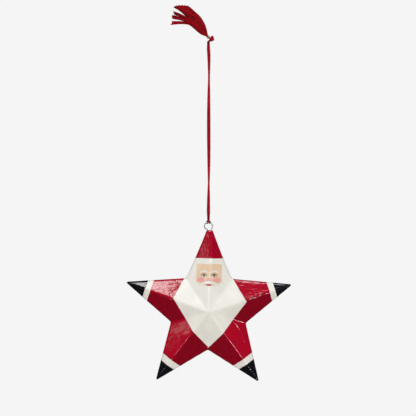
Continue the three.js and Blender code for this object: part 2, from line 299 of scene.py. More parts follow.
def hitch_points():
    tail_x, top = leg_end_spacing / 2, ring_radius
    half = [
        (tail_x, 0, top + hitch_tail_rise + 1.7),
        (tail_x, 0, top + hitch_tail_rise + 0.6),
        (tail_x, -0.06 * wrap_radius, top + 0.8 * hitch_tail_rise),
    ]
    for i in range(wrap_steps + 1):
        share = i / wrap_steps
        turn = math.radians(wrap_start + wrap_sweep * share)
        x = between(ease(share, 0.05, 0.6), tail_x, wrap_spread)
        x += (bar_half_width - wrap_spread) * ease(share, 0.7, 1)
        half.append(by_the_wire(x, wrap_radius * math.cos(turn), wrap_radius * math.sin(turn)))
    bar_z = top + bar_rise
    half += [
        (0.86 * bar_half_width, -0.62 * bar_forward, bar_z - 0.05),
        (0.5 * bar_half_width, -0.95 * bar_forward, bar_z),
        (0, -bar_forward, bar_z),
    ]
    mirrored = [(-x, y, z) for x, y, z in half[-2::-1]]
    return [(x, y, z + ring_height) for x, y, z in half + mirrored]


def hitch_radius(line):
    """Full in the tails and the bar, pressed thin where it goes round the wire."""
    from_wire = np.hypot(np.hypot(line[:, 0], line[:, 2] - ring_height) - ring_radius, line[:, 1])
    return between(ease(from_wire, wrap_radius, wrap_radius + 0.7), wrapped_diameter, hitch_diameter) / 2


hitch_line = smooth_line(hitch_points(), 0.16)
hitch = mesh_piece("larks_head_hitch",
                   [swept(hitch_line, hitch_radius(hitch_line), three_ply, tight_ply_turns)])
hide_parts("ring_hitch")
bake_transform(hitch)

# %% [markdown]
# ## The knot
#
# Both legs go through one overhand knot, which is a trefoil when it is pulled tight. Two
# cords laid side by side along a trefoil read as that knot from every side. A lump with a
# bumpy surface would be quicker, but it shows no strand going over another.

# %% Knot
knot_centre = (2.4, 0, 2.1)
knot_lobe_radius, knot_stretch, knot_half_depth = 1.04, 1.36, 0.6
knot_strand, knot_pair_reach, knot_steps = 1.4, 0.2, 31


def trefoil(turn, outwards, forwards):
    """A point beside the trefoil's middle line."""
    scale = knot_lobe_radius / 3
    x = (math.sin(turn) + 2 * math.sin(2 * turn)) * scale
    z = (2 * math.cos(2 * turn) - math.cos(turn)) * scale * knot_stretch
    reach = math.hypot(x, z)
    x, z = x * (1 + outwards / reach), z * (1 + outwards / reach)
    return (knot_centre[0] + x, forwards + knot_half_depth * math.sin(3 * turn), knot_centre[2] + z)


def knot_line(side):
    """One of the two cords: up out of its leg, into the low left lobe and once round."""
    foot = (side * leg_end_spacing / 2, 0, -knot_gap - 0.8)
    points = [foot, (foot[0], 0, -0.1)]
    enters = 5 * math.pi / 3
    lobe = trefoil(enters, 0.12 * side, 0.3 * side)
    points.append(tuple(0.5 * a + 0.5 * b for a, b in zip((foot[0], 0, 0.3), lobe)))
    for i in range(knot_steps):
        turn = enters + 2 * math.pi * i / knot_steps
        lay = side * (0.5 + i / 5)
        outwards, forwards = knot_pair_reach * math.cos(lay), knot_pair_reach * math.sin(lay) * side
        points.append(trefoil(turn, outwards, forwards))
    return smooth_line(points, 0.18)


def knot_radius(line):
    """The strands swell from the cord's size below the knot to the full one in its lobes."""
    return between(ease(np.linspace(0, 1, len(line)), 0.08, 0.25), cord_end_diameter, knot_strand) / 2


knot_lines = [knot_line(side) for side in (-1, 1)]
knot = mesh_piece("overhand_knot", [swept(line, knot_radius(line), three_ply, tight_ply_turns, start_turn)
                                    for line, start_turn in zip(knot_lines, (-1, 1))])
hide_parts("stopper_knot")
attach(knot, "hanging_end")

# %% [markdown]
# ## The tassel
#
# The tassel is a bundle of cut yarns. Bound at the neck, it stands off to one side, swells,
# and parts into four locks with ragged ends. Hair strands would be the usual tool for it,
# but these yarns are thick enough to count, so each one is a two-ply tube. Every yarn starts
# at its own place in the neck, keeps that place in the bundle, and moves into its lock.

# %% Edges of the tassel
neck_centre = np.array([-0.05, 0, 3.2])
neck_angle = math.radians(135)
neck_direction = np.array([math.cos(neck_angle), 0, math.sin(neck_angle)])
neck_side = np.array([neck_direction[2], 0, -neck_direction[0]])
backwards = np.array([0, 1, 0])
tassel_half_depth, tassel_end_bulge = 3.1, 4
tassel_top_edge = [
    (-0.3, 0.6), (-1.1, 5.3), (-2.6, 9.3), (-5.3, 13.7), (-8.3, 16.5), (-11.2, 19.1), (-14.6, 21.4),
]
tassel_bottom_edge = [
    (-0.7, 0.2), (-5.1, 1.9), (-8.3, 4.5), (-12.9, 8.0), (-16.4, 8.5), (-25.2, 7.9),
]
tassel_locks = [
    {"up_to": 0.15, "from": 0, "to": 0.11, "longer": 0},
    {"up_to": 0.3, "from": 0.21, "to": 0.32, "longer": 0},
    {"up_to": 0.4, "from": 0.4, "to": 0.47, "longer": 0},
    {"up_to": 1, "from": 0.62, "to": 1, "longer": 2.6},
]
tassel_height = 24.7
tassel_end_direction = np.array([-0.77, 0, 0.64])
edge_steps = 60


def edge_line(edge):
    line = smooth_line([neck_centre + (x, 0, z) for x, z in edge], 0.25)
    return even_line(line, length_of(line) / edge_steps)


top_edge, bottom_edge = edge_line(tassel_top_edge), edge_line(tassel_bottom_edge)

# %% A yarn's place
yarn_count, yarn_diameter, neck_share = 140, 0.7, 0.2
yarn_steps, parts_from, parts_by = 12, 0.48, 0.97  # the locks part along that share of the yarn
rng = np.random.default_rng(7)


def yarn_place(index):
    """Where a yarn lies in the bundle: from 0 to 1 across it, and from -1 to 1 front to back."""
    golden = math.pi * (3 - math.sqrt(5))
    reach = math.sqrt((index + 0.5) / yarn_count)
    return 0.5 + 0.5 * reach * math.cos(index * golden), reach * math.sin(index * golden)


def lock_of(bundled):
    """The lock that a yarn goes into, and its place from 0 to 1 across that lock."""
    below = 0
    for lock in tassel_locks:
        if bundled <= lock["up_to"]:
            break
        below = lock["up_to"]
    return lock, (bundled - below) / (lock["up_to"] - below)


def between_edges(along, across):
    """A point from 0 to 1 along the tassel, and from 0 to 1 across it."""
    place = along * edge_steps
    low = int(min(place, edge_steps - 1))
    share = place - low
    bottom, top = (between(share, edge[low], edge[low + 1]) for edge in (bottom_edge, top_edge))
    return between(across, bottom, top)


# %% Yarns
def yarn_line(index):
    """One yarn, from inside the binding to its cut end."""
    bundled, sideways = yarn_place(index)
    lock, in_lock = lock_of(bundled)
    gathered = between(in_lock, lock["from"], lock["to"]) + rng.normal(0, 0.015)
    longer = lock["longer"] * (1 - in_lock**3)
    stray, lift = rng.normal(0, 0.3), rng.normal(0, 0.22)
    phase, swing = rng.uniform(0, 6.28), rng.uniform(0.05, 0.22)
    tuft = noise.noise(Vector((9 * bundled, 2 * sideways, 3.1)))
    limit = tassel_height - yarn_diameter / 2 - rng.uniform(0, 0.3) - max(0, 2.5 * tuft)
    shorter = 0.97 + 0.06 * tuft + rng.uniform(-0.015, 0.015)
    points = [neck_centre - 1.6 * neck_direction, neck_centre + 0.3 * neck_direction]
    for i in range(1, yarn_steps + 1):
        along = shorter * i / yarn_steps
        across = between(ease(along, parts_from, parts_by), bundled, gathered)
        bulge = tassel_end_bulge * 4 * across * (1 - across) + longer
        point = between_edges(along, across) + tassel_end_direction * bulge * along**2
        point[1] = tassel_half_depth * sideways * math.sin(math.pi * min(1, 0.85 * along))
        point[1] += stray * along**2 + swing * math.sin(phase + 7 * along) * along
        point[2] += lift * along**3 + 0.5 * swing * math.cos(phase + 6 * along) * along
        if point[2] > limit:
            last = points[-1]
            points.append(last + (point - last) * (limit - last[2]) / (point[2] - last[2]))
            break
        points.append(point)
    for point in points[:2]:
        point += 0.5 * ((2 * bundled - 1) * neck_side + sideways * backwards)
    return smooth_line(points, 0.55)


def yarn_radius(line):
    """Squeezed thin in the neck, full from a third of the way, frayed at the end."""
    return yarn_diameter / 2 * between(ease(np.linspace(0, 1, len(line)), 0.06, 0.4), neck_share, 1)


yarn_lines = [yarn_line(i) for i in range(yarn_count)]
yarn_turns = 0.34
# Neighbours begin at nearly the same place along the dyed yarn, so they share its tone.
dye_spread = 80
tassel = mesh_piece("tassel_cut_yarns", [
    swept(line, yarn_radius(line), two_ply, yarn_turns, k, dye_spread * yarn_place(k)[0])
    for k, line in enumerate(yarn_lines)
])
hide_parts("tassel_yarns")
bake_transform(tassel)

# %% [markdown]
# ## The binding
#
# Gold-brown thread is wound round the neck of the tassel, a few turns side by side. One
# helix, drawn as a line and swept, gives the true ribs of a winding.

# %% Binding
binding_radius, thread_diameter, binding_turns = 0.92, 0.38, 4.5
steps_a_turn, thread_turns = 14, 1.1
thread_pitch = 0.88  # in diameters: the turns press into each other


def winding_line():
    points = []
    for i in range(int(binding_turns * steps_a_turn) + 1):
        turn = 2 * math.pi * i / steps_a_turn
        wound = i / (binding_turns * steps_a_turn) - 0.5
        along = wound * (binding_turns - 0.5) * thread_diameter * thread_pitch
        outwards = math.cos(turn) * neck_side + math.sin(turn) * backwards
        points.append(neck_centre + along * neck_direction + binding_radius * outwards)
    return even_line(points, 0.2)


binding = mesh_piece("gold_thread_binding",
                     [swept(winding_line(), thread_diameter / 2, two_ply, thread_turns)])
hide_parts("tassel_binding")
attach(binding, "tassel")

for name, leg in legs.items():
    line = leg_lines[name] * MM

# %% [markdown]
# ## The wire hanger
#
# One length of wire is bent into a ring with two legs, which stand in two holes in the hat.
# The frame's wire is right in size but has eight flat sides. A rounder tube along the same
# line takes its place.

# %% Star frame
hat_height, ring_lift, ring_offset = 53.2, 2.6, 0.88
star_tilt = math.atan2(ring_offset, hat_height + ring_lift)
star_centre = np.array([0, 0, ring_height - math.hypot(ring_offset, hat_height + ring_lift)])


def from_star(points, turn=0.0):
    """Places points of a star point, drawn upright, in the frame. turn is in degrees."""
    angle = star_tilt + math.radians(turn)
    p = np.array(points, float)
    x = p[:, 0] * math.cos(angle) + p[:, 2] * math.sin(angle)
    z = p[:, 2] * math.cos(angle) - p[:, 0] * math.sin(angle)
    return np.stack([x, p[:, 1], z], 1) + star_centre


print("star centre in mm:", star_centre.round(2), "tilt in degrees:", round(math.degrees(star_tilt), 2))

# %% Wire
wire_leg_depth, wire_leg_spacing, wire_leg_shift = 8.5, 2.4, -0.05
ring_left_end, ring_right_end = 105, 115


def on_ring(degrees):
    angle = math.radians(degrees)
    return (ring_radius * math.sin(angle) - ring_offset, 0,
            ring_radius * math.cos(angle) + hat_height + ring_lift)


def wire_line():
    left, right = wire_leg_shift - wire_leg_spacing / 2, wire_leg_shift + wire_leg_spacing / 2
    left_end, right_end = on_ring(-ring_left_end), on_ring(ring_right_end)
    foot = hat_height - wire_leg_depth
    in_wood = (foot, (foot + hat_height) / 2, hat_height - 2 * wire_diameter)
    mouth = (left - wire_diameter / 3, 0, hat_height)
    points = [(left, 0, z) for z in in_wood]
    points += [mouth, tuple((a + b) / 2 for a, b in zip(mouth, left_end))]
    points += [on_ring(angle) for angle in np.linspace(-ring_left_end, ring_right_end, 15)]
    points.append((right, 0, hat_height + 0.25 * (right_end[2] - hat_height)))
    points += [(right, 0, z) for z in reversed(in_wood)]
    return from_star(smooth_line(points, 0.2))


wire = mesh_piece("bent_wire_ring", [swept(wire_line(), wire_diameter / 2, round_wire)])
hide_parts("wire_hanger")
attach(wire, "star")

# %% [markdown]
# ## The five points
#
# Each point is a kite with a ridge down its middle, and it meets its neighbours in a mitred
# valley. The real wood is sanded and painted: ridges, valleys and rim are softly rounded, and
# the facets are a little uneven, which breaks up their reflections.
#
# A bevel modifier would round the edges alike, but it can't soften a valley that two pieces
# share. So each point is a grid of corners whose depth comes from a formula. Its rows run
# from the ridge out to the rim, and they are packed where the surface turns quickly. The
# unevenness comes from the place alone, so the neighbours still meet along the valleys.
#
# The sanding also left the points a little full about a third of the way out, so each facet
# bends there by two degrees. The hat's ridge was cut a little off its middle. Its front corners
# slide sideways for that, most at the ridge and not at all at the rim.

# %% Outline of half a point
tip_radius, inner_corner_radius, half_depth, rim_thickness = 57.5, 26.1, 14, 3
tip_round, tip_inset, blunt_round, rim_round = 0.75, 0.2, 0.35, 1.25
ridge_round, valley_round, corner_round = 0.95, 1.1, 0.5
hat_end_width, hat_hollow, outline_steps = 4, 0.35, 160
hat_ridge_shift, leans_from, leans_by = 1.45, 13, 33
crown_slope, crown_radius, crown_round = 0.02, 20, 0.03
half_angle = math.radians(36)
valley_direction = np.array([math.sin(half_angle), math.cos(half_angle)])
corner = inner_corner_radius * valley_direction
ridge_slope = (half_depth - rim_thickness / 2) / tip_radius
side_slope = (half_depth - rim_thickness / 2 - ridge_slope * corner[1]) / corner[0]


def half_outline(blunt):
    """From the inner corner to the tip's middle, as (across, along), and the ridge's end."""
    if blunt:
        r = blunt_round
        middle = np.array([hat_end_width / 2 - 0.75 * r, hat_height - r])
        ridge_end = hat_height - 1.2
    else:
        r = tip_round
        middle = np.array([0, tip_radius - tip_inset - r])
        ridge_end = middle[1] + 0.25 * r
    away = middle - corner
    lean = math.atan2(-away[0], away[1]) - math.asin(r / np.linalg.norm(away))
    normal = np.array([math.cos(lean), math.sin(lean)])
    straight = np.linspace(corner, middle + r * normal, outline_steps)
    turned = np.linspace(lean, math.pi / 2, 12)[1:]
    arc = [middle + r * np.array([math.cos(a), math.sin(a)]) for a in turned]
    parts = [straight, arc]
    if blunt:
        share = np.linspace(0, 1, outline_steps)
        straight -= (hat_hollow * np.sin(math.pi * share))[:, None] * normal
        parts.append(np.linspace(arc[-1], [0, hat_height], 8)[1:])
    line = np.vstack(parts)
    # A small fillet where the outline meets the neighbour's.
    from_valley = line @ np.array([-math.cos(half_angle), math.sin(half_angle)])
    fillet = 0.6 * (np.sqrt(from_valley**2 + corner_round**2) - np.abs(from_valley))
    fillet *= np.exp(-from_valley / 3)
    return line + fillet[:, None] * valley_direction, ridge_end


# %% Depth of the facets
wide_dents, near_dents = (11, 0.085), (4.5, 0.03)  # how far apart and how deep, in millimetres


def unevenness(x, z, back):
    """How far hand sanding left the surface from true, in millimetres."""
    far = 70 if back else 0  # the back has dents of its own
    (wide, wide_depth), (near, near_depth) = wide_dents, near_dents
    return (wide_depth * noise.noise(Vector((x / wide + far, z / wide, 1.7)))
            + near_depth * noise.noise(Vector((x / near, z / near + far, 8.3))))


def fullness(along):
    """How far sanding left the point proud of a straight ridge: most at crown_radius."""
    inner = crown_slope * along
    outer = crown_slope * crown_radius * (tip_radius - along) / (tip_radius - crown_radius)
    return (inner + outer) / 2 - np.sqrt(((inner - outer) / 2) ** 2 + crown_round**2)


def depth_at(across, along):
    """Depth of the softened facet, before the rim is rounded."""
    ridge = np.sqrt(across**2 + ridge_round**2)
    from_valley = along * math.sin(half_angle) - np.abs(across) * math.cos(half_angle)
    from_valley = np.maximum(from_valley, 0)
    valley = np.sqrt(from_valley**2 + valley_round**2) - from_valley
    slope_over_valley = side_slope * math.cos(half_angle) - ridge_slope * math.sin(half_angle)
    flat = half_depth - ridge_slope * along - side_slope * ridge + slope_over_valley * valley
    return flat + fullness(along)


def leaning_ridge(grid):
    """The hat's ridge was cut off its middle: it runs up nearer to the right edge."""
    moved = grid[..., 0] * 0
    for r, row in enumerate(grid):
        width = max(row[-1, 0], 0.05)
        shift = min(hat_ridge_shift * ease(row[0, 1], leans_from, leans_by), 0.6 * width)
        moved[r] = shift * (1 - row[:, 0] / width)
    return moved


# %% Corners of half a point
# Where the rows and columns of corners lie, in millimetres from each edge of a facet.
ridge_steps = (0, 0.12, 0.26, 0.45, 0.7, 1.05, 1.6)
rim_steps = (0, 0.02, 0.07, 0.16, 0.29, 0.46, 0.68, 0.95, 1.3)
valley_steps = (0, 0.1, 0.22, 0.4, 0.65, 1.0, 1.6)
tip_steps = (0, 0.12, 0.26, 0.42, 0.6, 0.8, 1.05, 1.4)
middle_rows, middle_columns = 30, 14
least_room = 1.35  # a row with less room than this for its packed ends squeezes them


def packed(near, far, middle_count, width):
    """Shares from 0 to 1 that are packed at both ends of a row of that width in mm."""
    reach = min(1.0, width / (least_room * (near[-1] + far[-1])))
    at_start, at_end = np.array(near) * reach / width, 1 - np.array(far[::-1]) * reach / width
    middle = np.linspace(at_start[-1], at_end[0], middle_count + 2)[1:-1]
    return np.concatenate([at_start, middle, at_end])


def half_grid(blunt):
    """Rows of (across, along, inset) from the ridge to the rim, and from the valley to the tip."""
    outline, ridge_end = half_outline(blunt)
    along = travelled(outline)
    rows = []
    for share in packed(valley_steps, tip_steps, middle_rows, along[-1]):
        rim = np.array([np.interp(share * along[-1], along, outline[:, k]) for k in range(2)])
        ridge = np.array([0, share * ridge_end])
        width = max(np.linalg.norm(rim - ridge), 0.05)
        columns = packed(ridge_steps, rim_steps, middle_columns, width)
        points = ridge + columns[:, None] * (rim - ridge)
        inset = np.array([np.linalg.norm(outline - p, axis=1).min() for p in points])
        inset[-1] = 0
        rows.append(np.column_stack([points, inset]))
    return np.array(rows)


# %% Corners and faces of a whole point
least_depth = 0.12


def point_corners(grid, turn, lean):
    """The corners of its four quarters: front right, front left, back right and back left."""
    across, along, inset = grid.reshape(-1, 3).T
    rolled = np.minimum(inset / rim_round, 1)
    roll = rim_round * (1 - np.sqrt(1 - (1 - rolled) ** 2))
    smooth_depth = np.maximum(depth_at(across, along) - roll, least_depth)
    corners = []
    for back in (False, True):
        for mirror in (1, -1):
            placed = from_star(np.stack([mirror * across + lean, 0 * across, along], 1), turn)
            uneven = np.array([unevenness(x, z, back) for x, _, z in placed - star_centre])
            depth = smooth_depth + uneven * np.clip(inset / 2, 0, 1)
            placed[:, 1] = depth if back else -depth
            corners.append(placed)
    return np.concatenate(corners)


def point_faces(rows, columns):
    """Each quarter's facet, and then the strips round the rim and across the valleys."""
    faces = []
    size = rows * columns
    for part, flipped in enumerate((False, True, True, False)):
        for r in range(rows - 1):
            for c in range(columns - 1):
                at = part * size + r * columns + c
                face = [at, at + 1, at + columns + 1, at + columns]
                faces.append(face[::-1] if flipped else face)
    for part, flipped in enumerate((False, True)):
        front, behind = part * size, (part + 2) * size
        rim = [(r * columns + columns - 1, columns) for r in range(rows - 1)]
        valley = [(c, 1) for c in range(columns - 1)]
        for at, step in rim + valley:
            face = [front + at, behind + at, behind + at + step, front + at + step]
            faces.append(face[::-1] if flipped else face)
    return faces


# %% A closed point
weld_distance, sliver_width, point_rim_angle = 0.002, 0.001, 50


def star_point(name, turn, blunt=False):
    """One painted point of the star, welded into a closed solid."""
    grid = half_grid(blunt)
    lean = leaning_ridge(grid).ravel() if blunt else 0
    point = mesh_piece(name, [(point_corners(grid, turn, lean), point_faces(*grid.shape[:2]), None)])
    merged = bmesh.new()
    merged.from_mesh(point.data)
    bmesh.ops.remove_doubles(merged, verts=merged.verts, dist=weld_distance * MM)
    bmesh.ops.dissolve_degenerate(merged, edges=merged.edges, dist=sliver_width * MM)
    bmesh.ops.recalc_face_normals(merged, faces=merged.faces)
    open_edges = sum(not e.is_manifold for e in merged.edges)
    merged.to_mesh(point.data)
    merged.free()
    smooth_but(point.data, point_rim_angle)
    print(name, "corners:", len(point.data.vertices), "open edges:", open_edges)
    return point


# %% The five points
turns = {
    "star_head_point": 0,
    "star_left_arm_point": -72,
    "star_right_arm_point": 72,
    "star_left_leg_point": -144,
    "star_right_leg_point": 144,
}
points = {}
for node, turn in turns.items():
    points[node] = star_point(node.replace("star", "painted"), turn, blunt=turn == 0)
    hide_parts(node)
    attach(points[node], "star")

# %% [markdown]
# ## Values on the surface
#
# All the paint is drawn by arithmetic. How far a place on the wood is from a line or a curve,
# in millimetres, says which colour it has. Each sum is one Math node, and a face takes many.
# Wired one by one they would hide what they mean. So one function places a node and feeds it,
# and a small class stands for a number that changes over the surface. Adding two of them
# places the node that does the sum.

# %% Placing a node
def feed(place, value):
    """Gives a socket the output of another node, or a plain number, colour or vector."""
    value = getattr(value, "socket", value)
    if isinstance(value, bpy.types.NodeSocket):
        place.id_data.links.new(value, place)
    elif place.type == "RGBA":
        place.default_value = (*value, 1)
    else:
        place.default_value = value


def new_node(tree, kind, given, **settings):
    """Places a node, sets it and feeds its inputs by name or number. Its outputs come back."""
    node = tree.nodes.new(kind)
    for label, value in settings.items():
        setattr(node, label, value)
    for label, value in given.items():
        feed(node.inputs[label], value)
    return node.outputs


# %% A number that changes over the surface
class Field:
    """The output of a node. Sums and products of fields become Math nodes."""

    def __init__(self, socket):
        self.socket = socket

    def math(self, operation, *others):
        given = dict(enumerate((self, *others)))
        return Field(new_node(self.socket.id_data, "ShaderNodeMath", given, operation=operation)["Value"])

    def __add__(self, other):
        return self.math("ADD", other)

    def __sub__(self, other):
        return self.math("SUBTRACT", other)

    def __mul__(self, other):
        return self.math("MULTIPLY", other)

    def __neg__(self):
        return self.math("MULTIPLY", -1)

    def __abs__(self):
        return self.math("ABSOLUTE")

    def least(self, other):
        return self.math("MINIMUM", other)

    def most(self, other):
        return self.math("MAXIMUM", other)


def hypotenuse(a, b):
    return (a * a + b * b).math("SQRT")


# %% Steps
def rising(value, low, high):
    """0 below low and 1 above high, with a smooth step between them."""
    given = {"Value": value, "From Min": low, "From Max": high}
    step = new_node(value.socket.id_data, "ShaderNodeMapRange", given, interpolation_type="SMOOTHSTEP")
    return Field(step["Result"])


def falling(value, low, high):
    """1 below low and 0 above high."""
    return -rising(value, low, high) + 1


# %% Noise and colours
def stretched(tree, point, stretch):
    """A point with each of its three numbers multiplied by its own factor."""
    return new_node(tree, "ShaderNodeVectorMath", {0: point, 1: stretch}, operation="MULTIPLY")["Vector"]


def noise_at(tree, point, stretch, detail=2.0):
    """Noise from -0.5 to 0.5, with about as many bumps in a millimetre as stretch says."""
    given = {"Vector": stretched(tree, point, stretch), "Scale": 1.0, "Detail": detail}
    return Field(new_node(tree, "ShaderNodeTexNoise", given)["Fac"]) - 0.5


def painted_over(tree, share, below, above):
    """The colour below, covered by the colour above as far as share says."""
    return new_node(tree, "ShaderNodeMix", {0: share, 6: below, 7: above}, data_type="RGBA")[2]


def brightened(tree, color, level):
    """A colour made lighter or darker, without changing its hue."""
    return new_node(tree, "ShaderNodeVectorMath", {0: color, "Scale": level}, operation="SCALE")["Vector"]


# %% Places
def parts_of(tree, point):
    """The three numbers of a point."""
    return [Field(socket) for socket in new_node(tree, "ShaderNodeSeparateXYZ", {0: point})]


def place_on_star(tree, turn=0.0):
    """A place in millimetres from the star's centre, with Z along the point turned by turn."""
    given = {
        "Vector": new_node(tree, "ShaderNodeTexCoord", {})["Object"],
        "Location": star_centre * MM,
        "Rotation": (0, star_tilt + math.radians(turn), 0),
        "Scale": (MM, MM, MM),
    }
    return new_node(tree, "ShaderNodeMapping", given, vector_type="TEXTURE")["Vector"]


def place_on_strand(tree):
    """A place on a swept strand in millimetres: round its middle line, and along it as Z."""
    return new_node(tree, "ShaderNodeAttribute", {}, attribute_name="strand_place")["Vector"]


# %% [markdown]
# ## Shared effects
#
# Four effects come back in several finishes, so each is a node group that is built once.
#
# - brushed edge: the border of a coat of paint, which a hand with a small brush leaves a
#   little wavy and a little soft.
# - brush tone: the streaks of thin and thick paint along a stroke.
# - lacquer ripple: the clear coat's surface. It isn't flat: it keeps the brush's furrows, sags
#   into slow waves and short crests, and holds specks of dust. This breaks up the reflections.
# - yarn fibre: the fine hairs of a spun yarn, lying nearly along it, painted shade in the grooves
#   between its plies, and lengths that took more or less of the dye.

# %% Making and using a node group
def new_group(name, given, made):
    """An empty node group. given and made are the kind of each input and output."""
    tree = bpy.data.node_groups.new(name, "ShaderNodeTree")
    for side, sockets in (("INPUT", given), ("OUTPUT", made)):
        for label, kind in sockets.items():
            tree.interface.new_socket(label, in_out=side, socket_type="NodeSocket" + kind)
    print("node group:", name, "takes", list(given), "and makes", list(made))
    return tree, tree.nodes.new("NodeGroupInput").outputs, tree.nodes.new("NodeGroupOutput").inputs


def use_group(tree, group, given):
    """Places a node group and feeds its inputs by name. Its outputs come back."""
    return new_node(tree, "ShaderNodeGroup", given, node_tree=group)


# %% Brushed edge and brush tone
def make_brushed_edge():
    tree, given, made = new_group(
        "brushed edge",
        {"Distance": "Float", "Point": "Vector", "Waver": "Float", "Softness": "Float"},
        {"Mask": "Float"})
    slow = noise_at(tree, given["Point"], (0.2, 0.2, 0.2)) * given["Waver"]
    quick = noise_at(tree, given["Point"], (1.5, 1.5, 1.5)) * given["Waver"]
    distance = Field(given["Distance"]) + slow * 2 + quick * 0.7
    softness = Field(given["Softness"])
    feed(made["Mask"], rising(distance, -softness, softness))
    return tree


def make_brush_tone():
    tree, given, made = new_group(
        "brush tone",
        {"Color": "Color", "Point": "Vector", "Streaks": "Float", "Blotches": "Float"},
        {"Color": "Color"})
    streaks = noise_at(tree, given["Point"], (1.7, 1.7, 0.09)) * given["Streaks"]
    blotches = noise_at(tree, given["Point"], (0.13, 0.13, 0.1)) * given["Blotches"]
    feed(made["Color"], brightened(tree, given["Color"], streaks + blotches + 1))
    return tree


# %% Lacquer ripple and yarn fibre
def make_lacquer_ripple():
    tree, given, made = new_group(
        "lacquer ripple",
        {"Point": "Vector", "Waves": "Float", "Crests": "Float", "Furrows": "Float", "Specks": "Float"},
        {"Height": "Float"})
    waves = noise_at(tree, given["Point"], (0.24, 0.24, 0.11), 1.0) * given["Waves"]
    crests = noise_at(tree, given["Point"], (0.8, 0.8, 0.3), 1.5) * given["Crests"]
    furrows = noise_at(tree, given["Point"], (2.6, 2.6, 0.12), 1.0) * given["Furrows"]
    dust = new_node(tree, "ShaderNodeTexVoronoi",
                    {"Vector": stretched(tree, given["Point"], (0.3, 0.3, 0.3)), "Scale": 1.0})
    specks = falling(Field(dust["Distance"]), 0.02, 0.13) * given["Specks"]
    feed(made["Height"], waves + crests + furrows + specks)
    return tree


def make_yarn_fibre():
    tree, given, made = new_group(
        "yarn fibre",
        {"Place": "Vector", "Radius": "Float", "Hairs": "Float"},
        {"GrooveShade": "Float", "Tone": "Float", "Height": "Float"})
    across, over, _ = parts_of(tree, given["Place"])
    share = hypotenuse(across, over).math("DIVIDE", given["Radius"])
    # Painted shade: 1 in the grooves between the plies, where the strand's colour is darkened.
    feed(made["GrooveShade"], falling(share, 0.68, 0.97))
    hairs = noise_at(tree, given["Place"], (9, 9, 0.9), 3.0)
    lengths = noise_at(tree, given["Place"], (0.02, 0.02, 0.11), 2.0)
    dye = rising(lengths, -0.12, 0.12) - 0.5
    feed(made["Tone"], hairs * 0.9 + dye * 0.55)
    feed(made["Height"], hairs * given["Hairs"])
    return tree


brushed_edge, brush_tone = make_brushed_edge(), make_brush_tone()
lacquer_ripple, yarn_fibre = make_lacquer_ripple(), make_yarn_fibre()


# %% Making a finish
def new_finish(name, settings):
    """A material, its node tree and its shader, whose plain values settings gives."""
    material = bpy.data.materials.new(name)
    material.use_nodes = True
    tree = material.node_tree
    shader = tree.nodes["Principled BSDF"]
    for label, value in settings.items():
        feed(shader.inputs[label], value)
    print("finish:", name)
    return material, tree, shader


def relief(tree, shader, height):
    """Bump from a height in millimetres."""
    bump = new_node(tree, "ShaderNodeBump", {"Distance": MM, "Height": height})
    feed(shader.inputs["Normal"], bump["Normal"])


# %% [markdown]
# ## The paint
#
# The star is painted red all over. White comes over it as the robe's front, which is a
# many-sided field round the middle, and as a cuff near each tip. The tips are black. The hat
# is the red point itself, with a white band. Every border is measured on the star:
#
# - the robe's front is bounded by straight lines, so a place is inside when it lies on the
#   inner side of every line that crosses its point;
# - a cuff is a span along its own point.
#
# A texture drawn on an unwrapped star could do the same, but it would blur when seen close.
# Distances stay sharp at any scale, and the same sums give the edge of the coat its relief.
# The white dries smoother and less glossy than the red, so its mask calms the ripple as well.
#
# The limbs' lower facets are painted a deeper red, as painted shade, since less light falls on
# them. The hat's red gets a thin painted shade too, a little more on its right facet. On the
# right leg a run of lacquer dried as a thin curved bead.

# %% Paints and lacquer
# The deep red is painted shade: darker red on the lower facets of the limbs, and a thin layer on the hat.
red_paint, painted_shade_red = (0.44, 0.002, 0.020), (0.255, 0.001, 0.012)
white_paint, black_paint = (0.855, 0.845, 0.795), (0.006, 0.006, 0.009)
gloss = {"IOR": 1.55, "Specular IOR Level": 0.75}
glossy_roughness, white_roughness = 0.11, 0.35
coat_thickness = 0.035
# The deep red of painted shade begins over this half width of a ridge. On the hat it is a thin painted
# shade.
ridge_blend, hat_shade_left, hat_shade_right = 0.7, 0.28, 0.33
# How high the brush left its crests on each point, and on the white and the black.
crests_on = {
    "star_head_point": 0.4,
    "star_left_arm_point": 0.07,
    "star_right_arm_point": 0.17,
    "star_left_leg_point": 0.1,
    "star_right_leg_point": 0.1,
}
calm_crests = 0.04
# The run of lacquer lies on an arc, and fades out at its lower end.
run_on = "star_right_leg_point"
run_centre, run_radius, run_half_width, run_height = (1.5, -24.0), 23.2, 1.0, 0.23
run_end, run_fade = -21.5, 2.5

# %% Borders
front_corners = [
    (-23.2, 8.2), (-10.1, -13.0), (0.4, -24.4), (9.8, -14.3), (25.0, 6.6), (16.3, 20.5), (-16.4, 21.2),
]
cuffs = {
    "star_head_point": (31.0, 34.7),
    "star_left_arm_point": (40.7, 44.4),
    "star_right_arm_point": (42.4, 46.2),
    "star_left_leg_point": (40.8, 45.2),
    "star_right_leg_point": (39.4, 43.6),
}
front_lines = {
    "star_left_arm_point": (6, 0),
    "star_right_arm_point": (3, 4),
    "star_left_leg_point": (0, 1),
    "star_right_leg_point": (2, 3),
}


def inside_line(x, z, number):
    """How far a place is on the inner side of one border line of the robe's front."""
    x0, z0 = front_corners[number]
    x1, z1 = front_corners[(number + 1) % len(front_corners)]
    length = math.hypot(x1 - x0, z1 - z0)
    across, up = -(z1 - z0) / length, (x1 - x0) / length
    return x * across + z * up - (x0 * across + z0 * up)


# %% [markdown]
# ## The face
#
# The face is painted flat on the head's two facets, in a panel under the hat's band. It is a
# plain one, drawn on the proportions of a drawing book: the eyes lie half way up the head and
# one eye's width apart, the nose ends half way from the brows to the chin, and the mouth is a
# third of the way below it. It is even on both sides, so most shapes are drawn once, on the
# distance from the middle line. Each coat is a colour, a shape, and how soft and thick it is.

